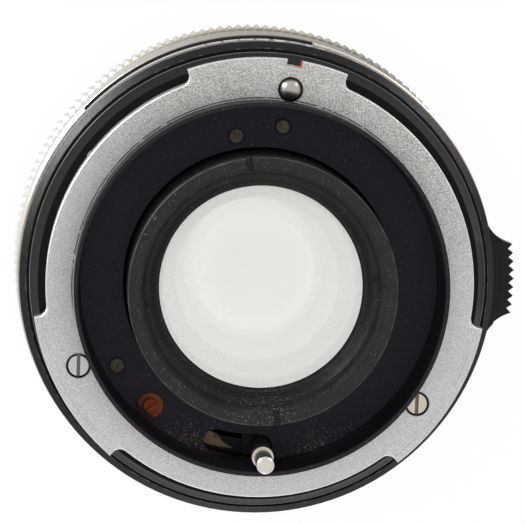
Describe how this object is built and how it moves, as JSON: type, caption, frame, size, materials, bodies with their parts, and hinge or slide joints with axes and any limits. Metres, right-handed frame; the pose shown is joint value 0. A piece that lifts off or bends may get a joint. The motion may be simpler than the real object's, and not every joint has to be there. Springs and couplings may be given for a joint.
{
  "type": "camera lens",
  "caption": "Standard prime lens with a three-lug bayonet mount, knurled focus ring, aperture ring with a serrated tab, iris and stop-down pin.",
  "frame": {"origin": "on the optical axis, in the plane of the front rim, where a filter screws in", "axes": "+Z runs along the optical axis from the front rim to the rear mount; the index notch of the mount ring points to +Y, near enough, and the tab of the aperture ring to +X"},
  "size_m": [0.0644, 0.0624, 0.0527],
  "materials": {
    "satin_silver": "satin",
    "bright_aluminium": "satin",
    "black_anodised": "matte",
    "turned_aluminium": "satin",
    "nickel": "polished",
    "lacquer": "gloss",
    "scale_strip": "satin",
    "brass": "satin",
    "black_cell": "satin",
    "optical_glass": "polished",
    "blade_steel": "satin"
  },
  "bodies": {
    "barrel": {"fixed_barrel": "turned_aluminium", "mount_ring": "satin_silver", "mount_screws": "nickel", "locating_stud": "nickel", "baffle_tube": "black_anodised", "baffle_plate": "black_anodised", "baffle_screws": "nickel", "adjusting_screw": "nickel", "lacquer_seal": "lacquer", "mount_housing": "black_anodised", "housing_screws": "nickel", "index_ring": "bright_aluminium", "scale_panel": "scale_strip", "index_ring_screws": "nickel", "lever_retainer": "brass", "spring_anchor": "nickel", "return_spring": "nickel", "sleeve_retainer": "brass", "guide_keys": "brass", "focus_stop_screw": "nickel", "click_ball": "nickel", "click_spring": "nickel"},
    "aperture_ring": {"aperture_ring": "black_anodised", "aperture_cam_ring": "brass", "aperture_link_pin": "nickel"},
    "focus_ring": {"focus_grip_ring": "bright_aluminium", "distance_ring": "black_anodised", "distance_ring_screws": "nickel", "focus_sleeve": "brass", "grip_screws": "nickel"},
    "optical_block": {"inner_helicoid": "turned_aluminium", "lens_block": "black_cell", "block_lock_ring": "black_cell", "filter_ring": "black_anodised", "filter_ring_screws": "nickel", "name_ring": "black_anodised", "front_retaining_ring": "black_cell", "front_element": "optical_glass", "front_spacer": "black_cell", "front_doublet_crown": "optical_glass", "front_doublet_flint": "optical_glass", "iris_base": "brass", "iris_cover": "brass", "iris_cover_screws": "nickel", "rear_cell": "black_cell", "rear_doublet_flint": "optical_glass", "rear_doublet_crown": "optical_glass", "rear_spacer": "black_cell", "rear_element": "optical_glass", "rear_retaining_ring": "black_cell"},
    "stop_down": {"stop_down_ring": "brass", "stop_down_pin": "nickel"},
    "iris_rotor": {"iris_rotor": "brass", "rotor_post": "nickel"},
    "blade_1": {"iris_blade_1": "blade_steel"},
    "blade_2": {"iris_blade_2": "blade_steel"},
    "blade_3": {"iris_blade_3": "blade_steel"},
    "blade_4": {"iris_blade_4": "blade_steel"},
    "blade_5": {"iris_blade_5": "blade_steel"},
    "blade_6": {"iris_blade_6": "blade_steel"}
  },
  "joints": [
    {"name": "focus_turn", "type": "hinge", "parent": "barrel", "child": "focus_ring", "pos_m": [0, 0, 0.0185], "axis": [0, 0, 1], "range_deg": [0, 220]},
    {"name": "block_slide", "type": "slide", "parent": "barrel", "child": "optical_block", "axis": [0, 0, -1], "range_m": [0, 0.0062]},
    {"name": "aperture_turn", "type": "hinge", "parent": "barrel", "child": "aperture_ring", "pos_m": [0, 0, 0.0335], "axis": [0, 0, 1], "range_deg": [0, 62]},
    {"name": "stop_down_turn", "type": "hinge", "parent": "barrel", "child": "stop_down", "pos_m": [0, 0, 0.0361], "axis": [0, 0, 1], "range_deg": [-15, 0], "stiffness_Nm_per_rad": 0.01, "springref_deg": 11.46, "deforming": ["return_spring"]},
    {"name": "iris_rotor_turn", "type": "hinge", "parent": "optical_block", "child": "iris_rotor", "pos_m": [0, 0, 0.0283], "axis": [0, 0, 1], "range_deg": [-15, 0]},
    {"name": "blade_1_pivot", "type": "hinge", "parent": "optical_block", "child": "blade_1", "pos_m": [0.0179, 0, 0.027], "axis": [0, 0, 1], "range_deg": [0, 30]},
    {"name": "blade_2_pivot", "type": "hinge", "parent": "optical_block", "child": "blade_2", "pos_m": [0.00895, 0.0155, 0.027], "axis": [0, 0, 1], "range_deg": [0, 30]},
    {"name": "blade_3_pivot", "type": "hinge", "parent": "optical_block", "child": "blade_3", "pos_m": [-0.00895, 0.0155, 0.027], "axis": [0, 0, 1], "range_deg": [0, 30]},
    {"name": "blade_4_pivot", "type": "hinge", "parent": "optical_block", "child": "blade_4", "pos_m": [-0.0179, 0, 0.027], "axis": [0, 0, 1], "range_deg": [0, 30]},
    {"name": "blade_5_pivot", "type": "hinge", "parent": "optical_block", "child": "blade_5", "pos_m": [-0.00895, -0.0155, 0.027], "axis": [0, 0, 1], "range_deg": [0, 30]},
    {"name": "blade_6_pivot", "type": "hinge", "parent": "optical_block", "child": "blade_6", "pos_m": [0.00895, -0.0155, 0.027], "axis": [0, 0, 1], "range_deg": [0, 30]}
  ],
  "couplings": [
    {"joint": "block_slide", "follows": "focus_turn", "m_per_rad": 0.001614},
    {"joint": "iris_rotor_turn", "follows": "stop_down_turn", "ratio": 1},
    {"joint": "blade_1_pivot", "follows": "stop_down_turn", "ratio": -2},
    {"joint": "blade_2_pivot", "follows": "stop_down_turn", "ratio": -2},
    {"joint": "blade_3_pivot", "follows": "stop_down_turn", "ratio": -2},
    {"joint": "blade_4_pivot", "follows": "stop_down_turn", "ratio": -2},
    {"joint": "blade_5_pivot", "follows": "stop_down_turn", "ratio": -2},
    {"joint": "blade_6_pivot", "follows": "stop_down_turn", "ratio": -2}
  ]
}
